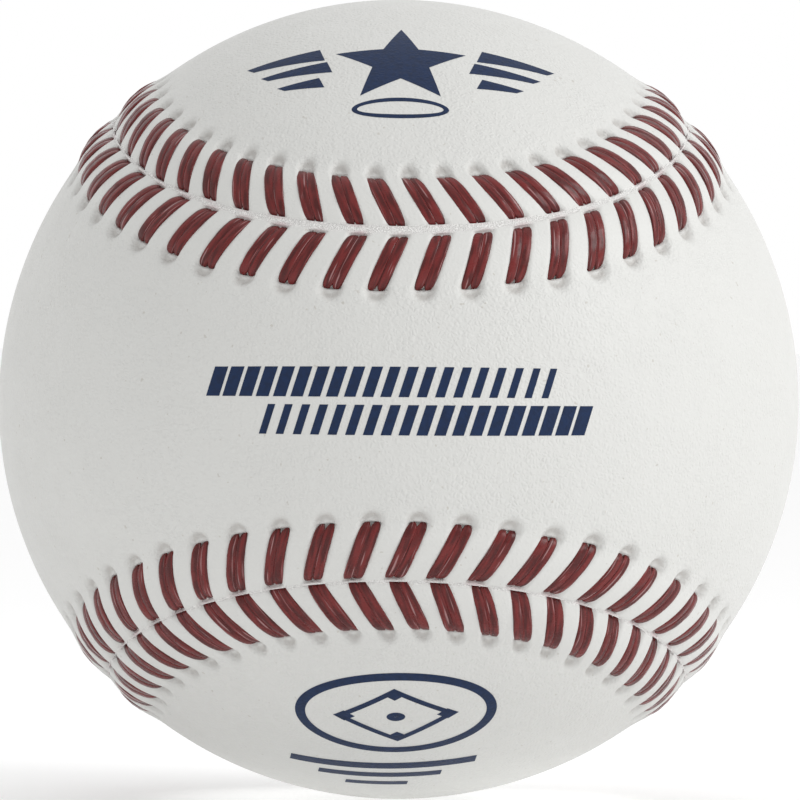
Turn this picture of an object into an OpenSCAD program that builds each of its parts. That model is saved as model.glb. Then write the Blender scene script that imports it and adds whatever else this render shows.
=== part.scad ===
// A leather baseball for pitching machines, in its real layers: a cushioned cork pill,
// four windings, a cover of two figure-eight leather panels, and a raised double row of
// two-strand stitches.
//
// The ball's centre is the origin and +Z is up. The front panel is narrowest at -Y and the
// back panel at +Y, so the Y axis is the seam's own axis of symmetry.

/* [Pill] */
// Diameter of the cork and rubber ball at the very centre
cork_d = 20.6; // [19:0.1:22]
// Thickness of the two black rubber half shells round the cork
half_shell_t = 4; // [3:0.1:5]
// Thickness of the ring that parts the two half shells
gasket_t = 0.8; // [0.5:0.1:1.5]
// Outer diameter of the red rubber shell that closes the pill
pill_d = 33.4; // [32:0.1:35]

/* [Windings] */
// Diameter over the first winding, four-ply grey wool
first_winding_d = 62.4; // [60:0.1:64]
// Diameter over the second winding, three-ply white wool
second_winding_d = 66; // [64.5:0.1:67]
// Diameter over the third winding, three-ply grey wool
third_winding_d = 70.2; // [68:0.1:70.6]

/* [Cover] */
// Diameter over the smooth leather, for a girth between nine and nine and a quarter inches
ball_d = 73.8; // [72.8:0.1:74.8]
// Thickness of the leather
leather_t = 1.3; // [1.1:0.05:1.5]
// Half the width of a panel at its narrowest, as an angle at the ball's centre
waist_angle = 24.5; // [19:0.1:26]
// How much the seam's bends are squared, in degrees
bend_fullness = 2.6; // [0:0.1:5]
// How far the seam swings to either side of an even spiral, in degrees
seam_swing = 20.8; // [18:0.1:24]
// Width of the gap between the two panels
seam_gap = 0.4; // [0.3:0.05:0.9]
// Height of the leather ridge between two stitches, over the smooth leather
ridge_h = 0.4; // [0.3:0.05:1]

/* [Stitches] */
// Stitches along a quarter of the seam
quarter_stitches = 27; // [25:2:29]
// Distance from the seam's middle line to the stitch holes
hole_d = 5.2; // [4.5:0.1:6]
// Distance from the seam's middle line to where a stitch goes down into the gap
entry_d = 0.6; // [0.45:0.05:0.8]
// How far a stitch leans along the seam, as a part of the stitch spacing
lean = 0.54; // [0.3:0.02:0.8]
// How much less the front panel's stitches lean than that, and the back panel's more
lean_skew = 0.08; // [0:0.02:0.2]
// How far the stitches are drawn together along a panel's waist, in stitches
gather = 0.1; // [0:0.02:0.3]
// Diameter of one strand of waxed thread
strand_d = 0.82; // [0.7:0.02:1]
// Height of a strand's middle line over the smooth leather, at the top of its arch
arch_h = 0.1; // [0:0.05:0.6]
// Depth of a strand's end under the smooth leather
end_depth = 0.85; // [0.6:0.05:1.1]

/* [Hidden] */

round_fn = 64;
strand_fn = 16;
ball_r = ball_d / 2;
inner_skin_r = ball_r - leather_t;
// The glue line under the leather.
glue_t = 0.05;
finishing_r = inner_skin_r - glue_t;
half_shell_r = cork_d / 2 + half_shell_t;
strand_gap = 0.04;
stitch_count = 4 * quarter_stitches;

cork_color = [0.55, 0.36, 0.22];
black_rubber_color = [0.06, 0.06, 0.06];
red_rubber_color = [0.55, 0.1, 0.08];
grey_wool_color = [0.45, 0.46, 0.48];
white_wool_color = [0.86, 0.84, 0.79];
finishing_color = [0.9, 0.88, 0.82];
leather_color = [0.9, 0.88, 0.84];
thread_color = [0.42, 0.06, 0.07];

// --- The seam -------------------------------------------------------------------------------
// The seam is one closed curve. Its parameter t runs from 0 to 720 degrees. At t = 0 it
// crosses the YZ plane over the front panel's waist, and every 180 degrees it repeats itself,
// turned by a quarter and mirrored front to back.

function unit(v) = v / norm(v);

function seam_point(t) =
    let (from_front = 90 - (90 - waist_angle + bend_fullness) * cos(t) + bend_fullness * cos(3 * t),
         round_axis = 90 + t / 2 + seam_swing * sin(2 * t))
    [sin(from_front) * cos(round_axis), -cos(from_front), sin(from_front) * sin(round_axis)];

// Length of the seam up to each whole degree of t, as [length, t], for a ball of radius ball_r.
seam_steps = 720;
seam_table = [
    for (i = 0, run = 0; i <= seam_steps;
         run = run + ball_r * norm(seam_point(i + 1) - seam_point(i)), i = i + 1)
        [run, i]
];
seam_length = seam_table[seam_steps][0];
pitch = seam_length / stitch_count;

// The seam's parameter at a place counted in stitches, which may be below 0 or past the end.
function seam_at(place) =
    let (turns = floor(place / stitch_count))
    lookup((place - turns * stitch_count) * pitch, seam_table);

// The direction from the ball's centre to a point beside the seam: side is 1 on the front
// panel and -1 on the back panel, away is the distance from the seam's middle line.
function beside_seam(side, place, away) =
    let (t = seam_at(place),
         here = unit(seam_point(t)),
         along = unit(seam_point(t + 0.5) - seam_point(t - 0.5)),
         across = side * unit(cross(here, along)),
         turn = away / ball_r * 180 / PI)
    cos(turn) * here + sin(turn) * across;

// The place of the stitch number n on one panel. The holes are evenly spaced along the hole
// line, which is longer than the seam round a waist and shorter round a lobe.
function stitch_place(side, n) = n - side * gather * sin(180 * n / quarter_stitches);

function side_lean(side) = lean - side * lean_skew;

// --- The pill -------------------------------------------------------------------------------

module shell(outer_r, inner_r) {
    difference() {
        sphere(r = outer_r, $fn = round_fn);
        sphere(r = inner_r, $fn = round_fn);
    }
}

module cork_core() {
    color(cork_color) sphere(d = cork_d, $fn = round_fn);
}

// A ring or cup turned about the Y axis: the part of a shell between two places along Y.
module turned_shell(outer_r, inner_r, from_y, to_y) {
    rotate([-90, 0, 0])
        rotate_extrude($fn = round_fn)
            intersection() {
                difference() {
                    circle(r = outer_r, $fn = round_fn);
                    circle(r = inner_r, $fn = round_fn);
                }
                translate([0, from_y]) square([outer_r, to_y - from_y]);
            }
}

module rubber_half_shell_front() {
    color(black_rubber_color)
        turned_shell(half_shell_r, cork_d / 2, -half_shell_r, -gasket_t / 2);
}

module rubber_half_shell_back() {
    color(black_rubber_color)
        turned_shell(half_shell_r, cork_d / 2, gasket_t / 2, half_shell_r);
}

module rubber_gasket() {
    color(red_rubber_color)
        turned_shell(half_shell_r, cork_d / 2, -gasket_t / 2, gasket_t / 2);
}

module red_rubber_shell() {
    color(red_rubber_color) shell(pill_d / 2, half_shell_r);
}

// --- The windings ---------------------------------------------------------------------------

module first_winding() {
    color(grey_wool_color) shell(first_winding_d / 2, pill_d / 2);
}

module second_winding() {
    color(white_wool_color) shell(second_winding_d / 2, first_winding_d / 2);
}

module third_winding() {
    color(grey_wool_color) shell(third_winding_d / 2, second_winding_d / 2);
}

module finishing_winding() {
    color(finishing_color) shell(finishing_r, third_winding_d / 2);
}

// --- The cover ------------------------------------------------------------------------------
// Both panels are the same figure eight. The leather is built as rings that follow the seam,
// from its cut edge inwards, with three columns for each stitch: one on either side of the
// thread and one on the ridge between two threads.

column_places = [-0.25, 0.25, 0.5];
columns = len(column_places);

// Each ring: distance from the seam's middle line, the leather's height where a thread
// crosses it, its height between two threads, and the share of the stitches' lean it takes.
rings = [
    [seam_gap / 2, -0.8 * leather_t, -0.15, 0],
    [0.22 * hole_d, -0.55 * leather_t, 0.7 * ridge_h, 0.14],
    [0.55 * hole_d, -0.3 * leather_t, ridge_h, 0.5],
    [0.85 * hole_d, -0.5 * leather_t, 0.6 * ridge_h, 0.82],
    [1.03 * hole_d, -0.8 * leather_t, 0.1 * ridge_h, 1],
    [1.2 * hole_d, -0.08, -0.05, 0.9]
];
// Beyond the stitches the rings have one column for each stitch and no lean.
calm_ring_away = 1.75 * hole_d;
inner_ring_away = 0.55 * hole_d;
cross_rows = 10;

ring_points = stitch_count * columns;
station_count = 2 * quarter_stitches - 1;

// Points straight across the panel from the near edge to the far one, between the two rings
// of one point for each stitch. first is the place of the panel's first tip.
function crossing(side, first, away, r) = [
    for (k = [1 : station_count], row = [1 : cross_rows - 1])
        let (near = beside_seam(side, first + k, away),
             far = beside_seam(side, first - k, away))
        r * unit(near * (cross_rows - row) + far * row)
];

// A surface of one ring at the seam and a crossing: the triangles between the ring whose
// points start at ring_start and the crossing whose points start at cross_start.
function station_point(k, row, ring_start, cross_start) =
    row == 0 || k == 0 || k == station_count + 1
        ? ring_start + k
        : row == cross_rows
            ? ring_start + stitch_count - k
            : cross_start + (k - 1) * (cross_rows - 1) + row - 1;

function crossing_faces(ring_start, cross_start) = [
    for (k = [0 : station_count], row = [0 : cross_rows - 1])
        let (a = station_point(k, row, ring_start, cross_start),
             b = station_point(k + 1, row, ring_start, cross_start),
             c = station_point(k + 1, row + 1, ring_start, cross_start),
             d = station_point(k, row + 1, ring_start, cross_start))
        each [if (a != b && b != c) [a, b, c], if (a != c && c != d && a != d) [a, c, d]]
];

// Triangles between two full rings of the same number of points.
function band_faces(outer_start, inner_start) = [
    for (i = [0 : ring_points - 1])
        let (next = (i + 1) % ring_points)
        each [
            [outer_start + i, outer_start + next, inner_start + next],
            [outer_start + i, inner_start + next, inner_start + i]
        ]
];

// Triangles from a full ring to one with a single point for each stitch.
function thinning_faces(full_start, calm_start) = [
    for (j = [0 : stitch_count - 1])
        let (at = full_start + j * columns,
             before = full_start + (j * columns + ring_points - 1) % ring_points,
             calm = calm_start + j,
             next = calm_start + (j + 1) % stitch_count)
        each [
            [before, at, calm],
            [at, at + 1, calm],
            [at + 1, next, calm],
            [at + 1, at + 2, next]
        ]
];

function turned(faces) = [for (f = faces) [f[0], f[2], f[1]]];

module cover_panel(side, first) {
    ring_total = len(rings);
    outer_rings = [
        for (ring = rings, j = [0 : stitch_count - 1], c = [0 : columns - 1])
            let (height = c < 2 ? ring[1] : ring[2])
            (ball_r + height)
                * beside_seam(
                    side,
                    stitch_place(side, first + j + column_places[c]) + side_lean(side) * ring[3],
                    ring[0]
                )
    ];
    calm_ring = [
        for (j = [0 : stitch_count - 1]) ball_r * beside_seam(side, first + j, calm_ring_away)
    ];
    cut_ring = [
        for (j = [0 : stitch_count - 1], c = [0 : columns - 1])
            inner_skin_r * beside_seam(side, first + j + column_places[c], seam_gap / 2)
    ];
    under_ring = [
        for (j = [0 : stitch_count - 1])
            inner_skin_r * beside_seam(side, first + j, inner_ring_away)
    ];
    outer_crossing = crossing(side, first, calm_ring_away, ball_r);
    under_crossing = crossing(side, first, inner_ring_away, inner_skin_r);
    calm_start = len(outer_rings);
    outer_cross_start = calm_start + len(calm_ring);
    cut_start = outer_cross_start + len(outer_crossing);
    under_start = cut_start + len(cut_ring);
    under_cross_start = under_start + len(under_ring);
    outside = concat(
        [for (n = [0 : ring_total - 2]) each band_faces(n * ring_points, (n + 1) * ring_points)],
        thinning_faces((ring_total - 1) * ring_points, calm_start),
        crossing_faces(calm_start, outer_cross_start)
    );
    underside = concat(
        band_faces(cut_start, 0),
        turned(thinning_faces(cut_start, under_start)),
        turned(crossing_faces(under_start, under_cross_start))
    );
    faces = concat(outside, underside);
    polyhedron(
        concat(outer_rings, calm_ring, outer_crossing, cut_ring, under_ring, under_crossing),
        side > 0 ? turned(faces) : faces
    );
}

// The front panel's first tip lies at the back, a quarter of the seam before the place 0.
module cover_panel_front() {
    color(leather_color) cover_panel(1, -quarter_stitches);
}

module cover_panel_back() {
    color(leather_color) cover_panel(-1, 0);
}

// --- The stitches ---------------------------------------------------------------------------
// A stitch on one panel is two strands side by side. They rise from their hole, arch over the
// leather and go down into the gap, where they meet the stitch of the other panel.

module stitch(side, n) {
    place = stitch_place(side, n);
    seam_end = beside_seam(side, place, entry_d);
    hole_end = beside_seam(side, place + side_lean(side), hole_d);
    up = unit(seam_end + hole_end);
    run = hole_end - seam_end;
    forward = unit(run - (run * up) * up);
    sideways = cross(forward, up);
    end_r = ball_r - end_depth;
    half_chord = end_r * norm(run) / 2;
    rise = ball_r + arch_h - end_r * (seam_end * up);
    arch_r = (half_chord * half_chord + rise * rise) / (2 * rise);
    half_turn = acos((arch_r - rise) / arch_r);
    centre = (ball_r + arch_h - arch_r) * up;
    for (strand = [-1, 1])
        multmatrix([
            for (i = [0 : 2])
                [forward[i], up[i], sideways[i],
                 centre[i] + strand * (strand_d + strand_gap) / 2 * sideways[i]]
        ])
            rotate([0, 0, 90 - half_turn])
                rotate_extrude(angle = 2 * half_turn, $fn = round_fn)
                    translate([arch_r, 0]) circle(d = strand_d, $fn = strand_fn);
}

// A quarter of the seam has its middle stitch at the place middle.
module stitch_row(side, middle) {
    half = (quarter_stitches - 1) / 2;
    color(thread_color)
        for (k = [-half : half])
            stitch(side, middle + k);
}

module stitches_top_front() { stitch_row(1, 0); }

module stitches_top_back() { stitch_row(-1, 0); }

module stitches_left_front() { stitch_row(1, quarter_stitches); }

module stitches_left_back() { stitch_row(-1, quarter_stitches); }

module stitches_bottom_front() { stitch_row(1, 2 * quarter_stitches); }

module stitches_bottom_back() { stitch_row(-1, 2 * quarter_stitches); }

module stitches_right_front() { stitch_row(1, 3 * quarter_stitches); }

module stitches_right_back() { stitch_row(-1, 3 * quarter_stitches); }

cork_core();
rubber_half_shell_front();
rubber_half_shell_back();
rubber_gasket();
red_rubber_shell();
first_winding();
second_winding();
third_winding();
finishing_winding();
cover_panel_front();
cover_panel_back();
stitches_top_front();
stitches_top_back();
stitches_left_front();
stitches_left_back();
stitches_bottom_front();
stitches_bottom_back();
stitches_right_front();
stitches_right_back();
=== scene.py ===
"""Finishes the baseball: leather cover, waxed stitches, printed marks, inner layers and studio."""

import math

import bpy
import numpy as np
from bpy.props import FloatProperty, FloatVectorProperty, IntProperty, PointerProperty
from mathutils import Matrix, Vector


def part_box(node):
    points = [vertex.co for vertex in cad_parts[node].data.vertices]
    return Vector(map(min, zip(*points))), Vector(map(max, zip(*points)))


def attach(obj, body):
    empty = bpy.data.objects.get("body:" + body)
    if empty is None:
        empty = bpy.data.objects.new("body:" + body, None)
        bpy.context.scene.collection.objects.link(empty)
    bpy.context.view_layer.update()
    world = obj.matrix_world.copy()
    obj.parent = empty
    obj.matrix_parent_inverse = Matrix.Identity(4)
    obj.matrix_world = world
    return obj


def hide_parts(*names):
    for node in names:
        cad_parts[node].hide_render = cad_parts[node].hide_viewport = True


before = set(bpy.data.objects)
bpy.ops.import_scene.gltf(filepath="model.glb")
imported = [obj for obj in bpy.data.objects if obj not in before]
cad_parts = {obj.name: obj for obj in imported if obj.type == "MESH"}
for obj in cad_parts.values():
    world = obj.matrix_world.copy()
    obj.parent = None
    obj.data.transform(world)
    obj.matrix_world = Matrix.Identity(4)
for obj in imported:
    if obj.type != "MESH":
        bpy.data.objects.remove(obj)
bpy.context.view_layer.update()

bl_info = {
    "name": "Machine Baseball Maker",
    "version": (1, 0, 0),
    "blender": (4, 5, 0),
    "location": "View3D > Sidebar > Baseball",
    "description": "Makes a stitched leather baseball round its cork and wool core",
    "category": "Add Mesh",
}

MM = 0.001
BALL_RADIUS = -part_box("cover_panel_front")[0][1]
CORE_LAYERS = [
    "cork_core",
    "rubber_half_shell_front",
    "rubber_half_shell_back",
    "rubber_gasket",
    "red_rubber_shell",
    "first_winding",
    "second_winding",
    "third_winding",
    "finishing_winding",
]
# Each quarter of the seam, with the place of its middle stitch counted in quarters.
QUARTERS = {"top": 0, "left": 1, "bottom": 2, "right": 3}
SIDES = {"front": 1, "back": -1}


# --- What a user would change ---------------------------------------------------------------


def number_of(name, description, default, **more):
    return FloatProperty(name=name, description=description, default=default, **more)


def length_of(name, description, millimetres):
    return number_of(name, description, millimetres * MM, unit="LENGTH")


def angle_of(name, description, degrees):
    return number_of(name, description, math.radians(degrees), subtype="ANGLE")


def colour_of(name, description, default):
    return FloatVectorProperty(
        name=name, description=description, default=default, subtype="COLOR", size=3, min=0, max=1
    )


class CoverSizes(bpy.types.PropertyGroup):
    ball_radius: number_of(
        "Ball radius", "Radius over the smooth leather", BALL_RADIUS, unit="LENGTH"
    )
    thickness: length_of("Leather thickness", "Thickness of the leather away from the seam", 1.3)
    waist_angle: angle_of(
        "Waist", "Half the width of a panel at its narrowest, seen from the ball's centre", 25.16
    )
    bend_fullness: angle_of("Bend fullness", "How much the seam's bends are squared", 2.2)
    seam_swing: angle_of(
        "Seam swing", "How far the seam swings to either side of an even spiral", 20.3
    )
    ridge: length_of(
        "Ridge height", "Height of the leather between two stitches over the smooth leather", 0.36
    )
    valley: length_of("Seam valley", "How far the raw leather dips where the two panels meet", 0.1)
    thread_groove: length_of(
        "Thread groove",
        "Depth of the leather's groove under the top of the thread that lies in it",
        0.3,
    )
    hole_depth: length_of("Hole depth", "Depth of the hollow at each stitch hole", 0.55)
    unevenness: length_of("Unevenness", "Height of the slow waves in the hand-sewn cover", 0.02)
    out_of_round: length_of(
        "Out of round", "How far the sewn ball bulges away from a true sphere", 0.075
    )


class StitchSizes(bpy.types.PropertyGroup):
    quarter_stitches: IntProperty(
        name="Stitches in a quarter",
        description="Stitches along a quarter of the seam",
        default=27,
        min=1,
    )
    entry_distance: length_of(
        "Entry distance", "Distance from the seam's middle line to the near end of a stitch", 0.0
    )
    entry_skew: length_of(
        "Entry skew",
        "How much further back the front panel's stitches start, and the back's nearer",
        0.1,
    )
    top_gap: length_of(
        "Extra gap at the top",
        "How much further back the stitches start where the top seam shows its raw edge",
        0.4,
    )
    hole_distance: length_of(
        "Hole distance", "Distance from the seam's middle line to the far end of a stitch", 5.43
    )
    hole_skew: length_of(
        "Hole skew",
        "How much further out the front panel's holes lie, and the back panel's nearer",
        0.1,
    )
    lean: number_of(
        "Lean",
        "How far a stitch leans along the seam, as a part of the stitch spacing",
        0.645,
        subtype="FACTOR",
    )
    lean_skew: number_of(
        "Lean skew", "How much less the front panel's stitches lean, and the back panel's more", 0.1
    )
    gather: number_of(
        "Gather", "How far the stitches are drawn together along a waist, in stitches", 0.1
    )
    row_shift: number_of("Row shift", "How far both rows sit along the seam, in stitches", -0.1)
    back_shift: number_of(
        "Back row shift", "How far the back panel's stitches sit along the seam, in stitches", 0.11
    )
    strand: length_of("Strand width", "Width of one strand of waxed thread", 0.92)
    strand_thickness: length_of(
        "Strand thickness", "Thickness of a strand pulled flat against the leather", 0.52
    )
    arch: length_of("Arch height", "Height of the top of a stitch over the smooth leather", 0.5)
    sag: length_of(
        "Stitch sag", "How far the ends of a stitch are pulled down below its middle", 0.8
    )
    bury: length_of("Buried depth", "Depth of a strand's ends under the smooth leather", 0.95)
    wander: length_of("Hand wander", "How far a hand-sewn stitch strays from its even place", 0.08)


class FinishColours(bpy.types.PropertyGroup):
    leather: colour_of("Leather", "The cover's off-white", (0.665, 0.665, 0.645))
    leather_edge: colour_of(
        "Cut edge", "Raw leather where the two panels meet", (0.88, 0.87, 0.85)
    )
    thread: colour_of("Thread", "Waxed thread", (0.108, 0.0115, 0.011))
    # Partly wax and partly painted highlight: lighter streaks along the thread that stand in for
    # glints of light on it.
    wax_and_painted_highlight: colour_of("Wax", "Wax left in streaks along the thread", (0.42, 0.24, 0.24))
    thread_stain: colour_of(
        "Thread stain", "Dye that the thread leaves on the leather at the seam", (0.5, 0.24, 0.28)
    )
    # Painted shade: a darker grey laid on the far wall of each stitch hole, where that wall falls
    # in shade.
    hollow: colour_of(
        "Hollow", "Greyer leather at the far wall of each stitch hole", (0.34, 0.31, 0.285)
    )
    ink: colour_of("Ink", "Ink of the printed marks", (0.012, 0.025, 0.068))


class StudioSettings(bpy.types.PropertyGroup):
    camera_distance: number_of(
        "Camera distance", "Distance from the ball's centre, in ball radii", 24.0
    )
    camera_side: angle_of(
        "Camera side", "How far the camera stands to the right of straight ahead", 0.14
    )
    camera_rise: angle_of("Camera rise", "How far the camera stands above the ball's middle", 0.83)
    camera_roll: angle_of("Camera roll", "Turn of the camera about its own view", 0.43)
    front_light: number_of("Front light", "Strength of the room's soft light from the front", 0.7)
    back_light: number_of("Back light", "Strength of the room's soft light from behind", 1.0)
    key_light: number_of("Key light", "Power of the large soft light on the right", 1.7)
    floor: colour_of("Floor", "The pale studio floor", (0.85, 0.85, 0.85))


# --- The seam -------------------------------------------------------------------------------


def unit(vectors):
    """Each vector at length one."""
    return vectors / np.linalg.norm(vectors, axis=-1, keepdims=True)


class Seam:
    """The closed curve where the two panels meet, walked by its length and counted in stitches."""

    TABLE_STEPS = 2880
    # The turn on either side of a place that gives the seam's direction there.
    NUDGE = 0.004

    def __init__(self, cover, stitch):
        self.radius = cover.ball_radius
        self.waist = cover.waist_angle
        self.fullness = cover.bend_fullness
        self.swing = cover.seam_swing
        self.count = 4 * stitch.quarter_stitches
        self.turns = np.linspace(0, 4 * math.pi, self.TABLE_STEPS + 1)
        steps = np.linalg.norm(np.diff(self.curve(self.turns), axis=0), axis=1)
        self.run = self.radius * np.concatenate([[0], np.cumsum(steps)])
        self.pitch = self.run[-1] / self.count

    def curve(self, turn):
        """Direction of the seam from the ball's centre."""
        half = math.pi / 2
        from_front = (
            half
            - (half - self.waist + self.fullness) * np.cos(turn)
            + self.fullness * np.cos(3 * turn)
        )
        round_axis = half + turn / 2 + self.swing * np.sin(2 * turn)
        out = np.sin(from_front)
        across, up = out * np.cos(round_axis), out * np.sin(round_axis)
        return np.stack([across, -np.cos(from_front), up], axis=-1)

    def here_and_along(self, place):
        """Directions of the seam itself, and along it, at a place counted in stitches."""
        turn = np.interp(np.mod(place, self.count) * self.pitch, self.run, self.turns)
        along = self.curve(turn + self.NUDGE) - self.curve(turn - self.NUDGE)
        return unit(self.curve(turn)), unit(along)


class Sewing:
    """Where each stitch of one panel really is, with the small strays of a hand-sewn row."""

    # How many stitches the wider gap at the top reaches, and how far the holes follow it.
    TOP_GAP_REACH = 7
    HOLE_GAP_SHARE = 0.6
    # How far from the seam a stitch is highest, and half the length that it spans.
    HUMP_MIDDLE = 2.75 * MM
    HALF_SPAN = 2.9 * MM

    def __init__(self, seam, stitch, side):
        draw = np.random.RandomState(11 if side > 0 else 23)
        self.seam, self.stitch, self.side = seam, stitch, side
        count = seam.count

        def stray(share):
            return draw.normal(0, share * stitch.wander, count)

        from_top = (np.arange(count) + count / 2) % count - count / 2
        near_top = np.exp(-((from_top / self.TOP_GAP_REACH) ** 2))
        self.row_shift = stitch.row_shift + (stitch.back_shift if side < 0 else 0)
        self.side_lean = stitch.lean - side * stitch.lean_skew
        self.lean = self.side_lean + stray(0.25) / seam.pitch
        self.shift = stray(0.3) / seam.pitch
        hole = stitch.hole_distance + side * stitch.hole_skew
        self.hole = hole + self.HOLE_GAP_SHARE * stitch.top_gap * near_top + stray(0.8)
        entry = stitch.entry_distance + side * stitch.entry_skew
        self.entry = entry + stitch.top_gap * near_top + stray(0.45)
        self.crown = stitch.arch + stray(0.2)
        self.girth = 1 + draw.normal(0, 0.02, count)

    def place(self, lane):
        """Place along the seam of a lane counted in stitches, drawn together at the waists."""
        drawn = np.sin(math.pi * lane / self.stitch.quarter_stitches)
        return lane - self.side * self.stitch.gather * drawn + self.row_shift

    def beside(self, place, away):
        """Direction of a point on this panel that lies away from the seam."""
        place, away = np.broadcast_arrays(np.asarray(place, float), np.asarray(away, float))
        here, along = self.seam.here_and_along(place)
        across = self.side * unit(np.cross(here, along))
        angle = (away / self.seam.radius)[..., None]
        return np.cos(angle) * here + np.sin(angle) * across

    def thread_top(self, j, away):
        """Height of the top side of the stitch j over the smooth ball."""
        fall = ((away - self.HUMP_MIDDLE) / self.HALF_SPAN) ** 2
        return self.crown[j] - self.stitch.sag * fall


def sewings(scene):
    """The sewing of each panel, by the panel's name."""
    seam = Seam(scene.ball_cover, scene.ball_stitches)
    return {name: Sewing(seam, scene.ball_stitches, side) for name, side in SIDES.items()}


# --- Mesh helpers ---------------------------------------------------------------------------


def make_object(name, points, faces, material):
    """A mesh object that rides on the ball, with the material that it is given."""
    mesh = bpy.data.meshes.new(name)
    mesh.from_pydata(points.tolist(), [], faces)
    mesh.validate()
    mesh.shade_smooth()
    mesh.materials.append(material)
    obj = bpy.data.objects.new(name, mesh)
    bpy.context.scene.collection.objects.link(obj)
    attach(obj, "root")
    return obj


def turned(faces):
    """The same faces, looking the other way."""
    return [face[::-1] for face in faces]


def outward(points, faces):
    """The faces, all turned over if they enclose a negative volume."""
    volume = 0.0
    for size in (3, 4):
        block = np.array([f for f in faces if len(f) == size], int)
        for k in range(1, size - 1):
            if len(block):
                a, b, c = points[block[:, 0]], points[block[:, k]], points[block[:, k + 1]]
                volume += np.einsum("ij,ij->", a, np.cross(b, c))
    return faces if volume > 0 else turned(faces)


def add_point_values(mesh, name, values):
    """Stores one number at every point, for a material to read."""
    layer = mesh.attributes.new(name, "FLOAT", "POINT")
    layer.data.foreach_set("value", np.asarray(values, np.float32))


def band(first, second, count):
    """Four-sided faces between two closed rings of the same number of points."""
    return [
        (first + i, first + (i + 1) % count, second + (i + 1) % count, second + i)
        for i in range(count)
    ]


def thinning_band(full, calm, calm_count, ratio):
    """Faces from a closed ring to one with a point for every few of its points."""
    faces = []
    full_count = calm_count * ratio
    for c in range(calm_count):
        first = c * ratio - ratio // 2
        fan = [full + (first + k) % full_count for k in range(ratio + 1)]
        faces += [(fan[k], fan[k + 1], calm + c) for k in range(ratio)]
        faces.append((fan[-1], calm + (c + 1) % calm_count, calm + c))
    return faces


def crossing_points(ring, rows):
    """Points straight across a panel, between the two long sides of a ring that starts at a tip."""
    half = len(ring) // 2
    near, far = ring[1:half], ring[:half:-1]
    share = (np.arange(1, rows) / rows)[None, :, None]
    return unit(near[:, None] * (1 - share) + far[:, None] * share)


def crossing_faces(ring_start, cross_start, count, rows):
    """Faces that fill a panel inside a ring, over its crossing points."""
    half = count // 2

    def at(station, row):
        if row == 0 or station in (0, half):
            return ring_start + station
        if row == rows:
            return ring_start + count - station
        return cross_start + (station - 1) * (rows - 1) + row - 1

    faces = []
    for station in range(half):
        for row in range(rows):
            corners = (
                at(station, row),
                at(station + 1, row),
                at(station + 1, row + 1),
                at(station, row + 1),
            )
            face = tuple(dict.fromkeys(corners))
            if len(face) > 2:
                faces.append(face)
    return faces


# --- Materials ------------------------------------------------------------------------------


class Wiring:
    """The nodes of one material or room, with short calls to add and join them."""

    def __init__(self, owner):
        owner.use_nodes = True
        self.nodes = owner.node_tree.nodes
        self.links = owner.node_tree.links

    def plug(self, node, inputs):
        """Links or sets a node's inputs, given by name or number."""
        for key, value in inputs.items():
            if isinstance(value, bpy.types.NodeSocket):
                self.links.new(value, node.inputs[key])
            else:
                node.inputs[key].default_value = value

    def add(self, kind, inputs, **settings):
        """A new node with its settings and its inputs."""
        node = self.nodes.new("ShaderNode" + kind)
        for name, value in settings.items():
            setattr(node, name, value)
        self.plug(node, inputs)
        return node


class Finish(Wiring):
    """A material in the making, with short calls for the nodes that all finishes share."""

    def __init__(self, name, roughness, **sockets):
        self.material = bpy.data.materials.new(name)
        super().__init__(self.material)
        self.shader = self.nodes["Principled BSDF"]
        self.plug(self.shader, {"Roughness": roughness})
        self.plug(self.shader, {name.replace("_", " "): value for name, value in sockets.items()})
        self.place = self.nodes.new("ShaderNodeTexCoord").outputs["Object"]

    def noise(self, size, detail=3.0, at=None, output="Fac"):
        """Cloudy noise with lumps of the given size in metres."""
        inputs = {"Vector": at or self.place, "Scale": 1 / size, "Detail": detail}
        return self.add("TexNoise", inputs).outputs[output]

    def cells(self, size, kind="DISTANCE_TO_EDGE", at=None):
        """Packed cells of the given size in metres."""
        inputs = {"Vector": at or self.place, "Scale": 1 / size}
        return self.add("TexVoronoi", inputs, feature=kind).outputs["Distance"]

    def value(self, name):
        """A number stored on the mesh's points."""
        return self.add("Attribute", {}, attribute_name=name).outputs["Fac"]

    def remap(self, source, low, high, to_low, to_high):
        """A number carried from one range to another, eased at both ends."""
        inputs = {"Value": source, 1: low, 2: high, 3: to_low, 4: to_high}
        return self.add("MapRange", inputs, interpolation_type="SMOOTHSTEP").outputs["Result"]

    def sum(self, a, b, share=1.0):
        """a + b * share"""
        return self.add("Math", {0: b, 1: share, 2: a}, operation="MULTIPLY_ADD").outputs["Value"]

    def blend(self, amount, first, second):
        """One number over another."""
        return self.add("Mix", {0: amount, 2: first, 3: second}).outputs[0]

    def mix(self, amount, first, second):
        """One colour over another, each a socket or three numbers."""
        first, second = (
            tint if isinstance(tint, bpy.types.NodeSocket) else (*tint, 1)
            for tint in (first, second)
        )
        return self.add("Mix", {0: amount, 6: first, 7: second}, data_type="RGBA").outputs[2]

    def stretched(self, along, round_):
        """Coordinates that run along a strand, in metres, from the mesh's own strand map."""
        strand = self.add("UVMap", {}, uv_map="strand").outputs["UV"]
        return self.add("Mapping", {"Vector": strand, "Scale": (along, round_, 1)}).outputs[0]

    def colour(self, socket):
        self.plug(self.shader, {"Base Color": socket})

    def rough(self, socket):
        self.plug(self.shader, {"Roughness": socket})

    def bump(self, height, depth, strength=1.0):
        node = self.add("Bump", {"Height": height, "Distance": depth, "Strength": strength})
        self.plug(self.shader, {"Normal": node.outputs["Normal"]})


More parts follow.
